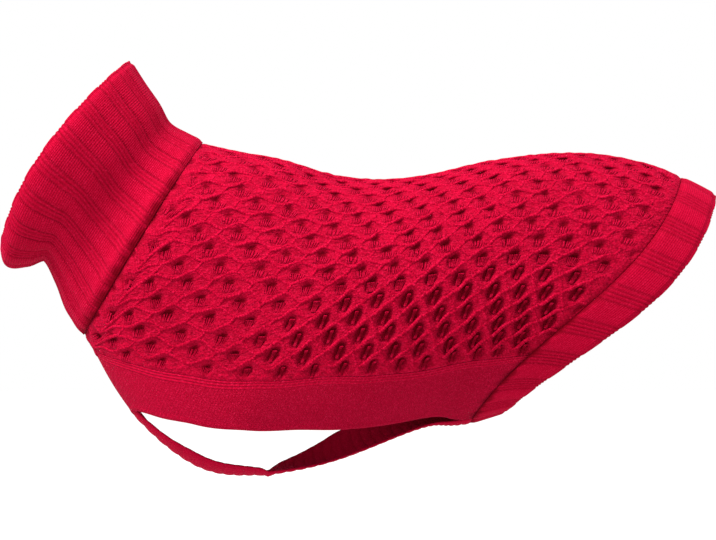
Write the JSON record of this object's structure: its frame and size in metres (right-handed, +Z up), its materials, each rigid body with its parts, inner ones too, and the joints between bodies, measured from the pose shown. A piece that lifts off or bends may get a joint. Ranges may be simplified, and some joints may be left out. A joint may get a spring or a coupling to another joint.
{
  "type": "knitted dog sweater",
  "caption": "Hollow knitted dog sweater in its worn shape: ribbed roll neck, honeycomb back panel, plain leg-opening edgings, belly strap and ribbed hem band.",
  "frame": {"origin": "on the cloth's inner face at the lowest point of the back line, where the wearer's back carries the sweater", "axes": "+X towards the tail, so the collar faces -X; +Y to the dog's right side; +Z up"},
  "size_m": [0.5489, 0.1565, 0.3182],
  "materials": {
    "collar": "matte crimson wide-rib knit",
    "back_panel": "matte crimson honeycomb knit",
    "edging_left": "matte crimson plain fine knit",
    "edging_right": "matte crimson plain fine knit",
    "belly_strap": "matte crimson rib knit",
    "hem_band": "matte crimson wide-rib knit"
  },
  "bodies": {
    "root": {"collar": "collar", "back_panel": "back_panel", "edging_left": "edging_left", "edging_right": "edging_right", "belly_strap": "belly_strap", "hem_band": "hem_band"}
  },
  "joints": []
}
